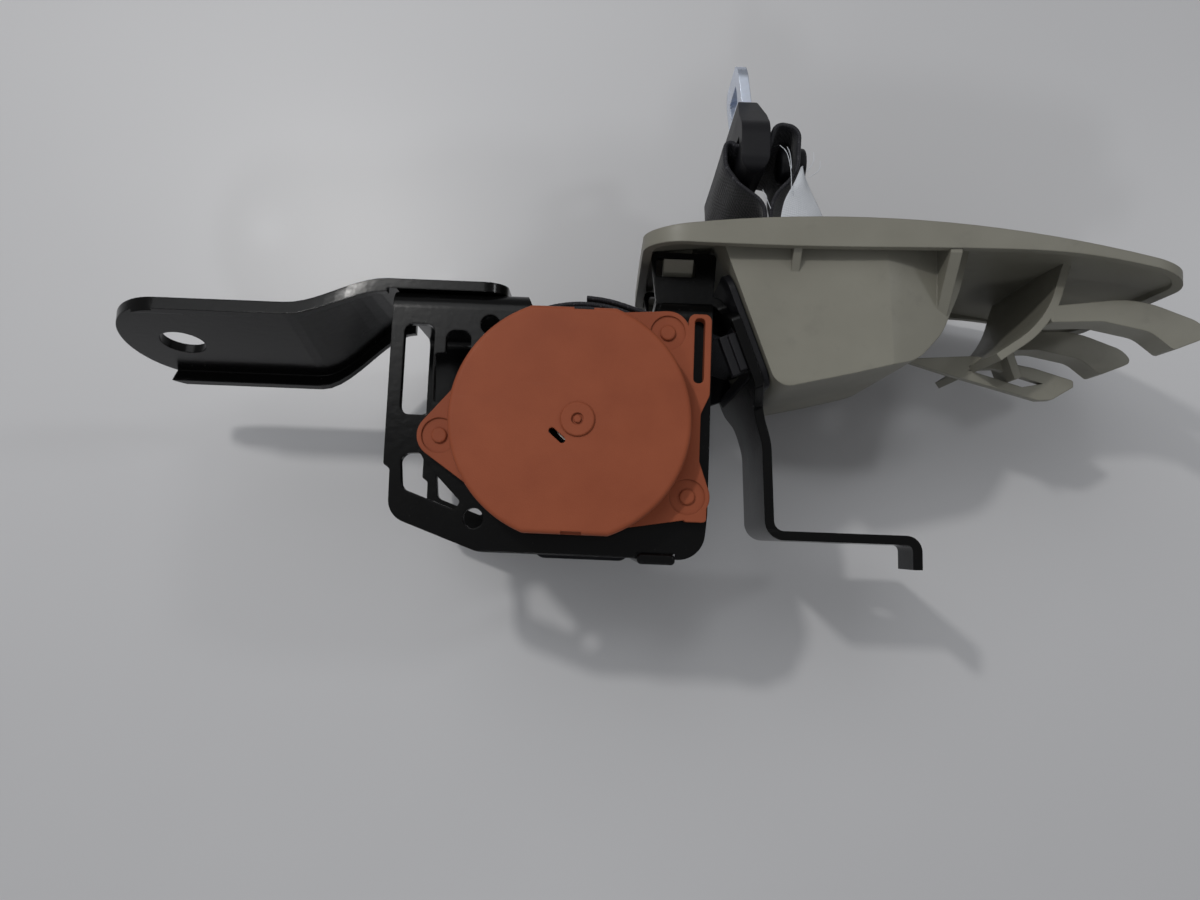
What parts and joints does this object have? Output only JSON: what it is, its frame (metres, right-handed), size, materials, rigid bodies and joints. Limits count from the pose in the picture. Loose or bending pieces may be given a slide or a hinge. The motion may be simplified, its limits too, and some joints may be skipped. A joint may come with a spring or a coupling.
{
  "type": "seat belt",
  "caption": "Seat belt retractor with a wound belt, tongue, anchor plate, domed trim bezel, mounting arm and locking mechanism.",
  "frame": {"origin": "where the reel axis meets the table, at the middle of the lock cover's outer face", "axes": "+Z along the reel axis from the lock cover to the spring cover, +X along the bezel away from the mounting arm, +Y the way the belt leaves the bezel"},
  "size_m": [0.297, 0.1452, 0.0877],
  "materials": {
    "black_steel": "satin black coated",
    "steel": "plain",
    "blade_steel": "polished",
    "spring_steel": "blued strip",
    "die_cast": "die cast",
    "orange_plastic": "fine matt",
    "black_plastic": "matt",
    "white_plastic": "matt",
    "trim_plastic": "grained outside, smooth inside",
    "belt_fabric": "woven polyester",
    "label_fabric": "plain woven tape"
  },
  "bodies": {
    "frame": {"frame": "black_steel", "tie_bar": "black_steel", "mounting_arm": "black_steel", "trim_bracket": "black_steel", "webbing_guide": "black_plastic", "bezel": "trim_plastic", "spring_base": "black_plastic", "spring_cover": "orange_plastic", "cover_pins": "orange_plastic", "mainspring": "spring_steel", "mechanism_cover": "black_plastic", "lock_cover_screws": "steel", "sensor_housing": "white_plastic", "pawl_pin": "steel", "pawl_spring": "spring_steel", "spool_bush": "white_plastic", "webbing_lead": "belt_fabric", "webbing_strand": "belt_fabric"},
    "spool": {"spool": "die_cast", "torsion_bar": "steel", "webbing_pin": "steel", "ratchet_wheel": "steel", "sensor_wheel": "white_plastic", "spring_arbor": "white_plastic", "webbing_roll": "belt_fabric"},
    "inertia_disc": {"inertia_disc": "steel"},
    "lock_plate": {"lock_plate": "black_plastic"},
    "locking_pawl": {"locking_pawl": "steel"},
    "sensor_ball": {"sensor_ball": "steel"},
    "sensor_lever": {"sensor_lever": "black_plastic"},
    "belt_end": {"webbing_loop": "belt_fabric", "stop_button": "black_plastic", "belt_label": "label_fabric"},
    "tongue": {"tongue_blade": "blade_steel", "tongue_cover": "black_plastic"},
    "anchor_plate": {"anchor_plate": "black_steel"}
  },
  "joints": [
    {"name": "spool_spin", "type": "hinge", "parent": "frame", "child": "spool", "pos_m": [0, 0, 0.047], "axis": [0, 0, -1], "range_deg": [0, 5040], "stiffness_Nm_per_rad": 0.0015, "springref_deg": -4583.66},
    {"name": "belt_pull", "type": "slide", "parent": "frame", "child": "belt_end", "axis": [0, 1, 0], "range_m": [0, 2.1996], "deforming": ["webbing_strand"]},
    {"name": "tongue_tilt", "type": "hinge", "parent": "belt_end", "child": "tongue", "pos_m": [0.0438, 0.079, 0.047], "axis": [0, 0, 1], "range_deg": [-10, 10]},
    {"name": "anchor_swing", "type": "hinge", "parent": "belt_end", "child": "anchor_plate", "pos_m": [0.06029, 0.03115, 0.047], "axis": [0, 0, 1], "range_deg": [0, 35]},
    {"name": "inertia_turn", "type": "hinge", "parent": "spool", "child": "inertia_disc", "pos_m": [0, 0, 0.0045], "axis": [0, 0, -1], "range_deg": [-12, 12]},
    {"name": "lock_plate_turn", "type": "hinge", "parent": "frame", "child": "lock_plate", "pos_m": [0, 0, 0.01275], "axis": [0, 0, -1], "range_deg": [0, 8]},
    {"name": "pawl_swing", "type": "hinge", "parent": "frame", "child": "locking_pawl", "pos_m": [-0.028, 0, 0.0165], "axis": [0, 0, 1], "range_deg": [0, 8.01], "deforming": ["pawl_spring"]},
    {"name": "ball_shift", "type": "slide", "parent": "frame", "child": "sensor_ball", "axis": [0.9397, 0.342, 0], "range_m": [0, 0.002]},
    {"name": "sensor_lever_lift", "type": "hinge", "parent": "frame", "child": "sensor_lever", "pos_m": [-0.008, -0.0202, 0.0085], "axis": [0, 0, 1], "range_deg": [0, 5.75]}
  ],
  "couplings": [
    {"joint": "belt_pull", "follows": "spool_spin", "m_per_rad": 0.025},
    {"joint": "pawl_swing", "follows": "lock_plate_turn", "ratio": 1},
    {"joint": "sensor_lever_lift", "follows": "ball_shift", "rad_per_m": 50}
  ]
}
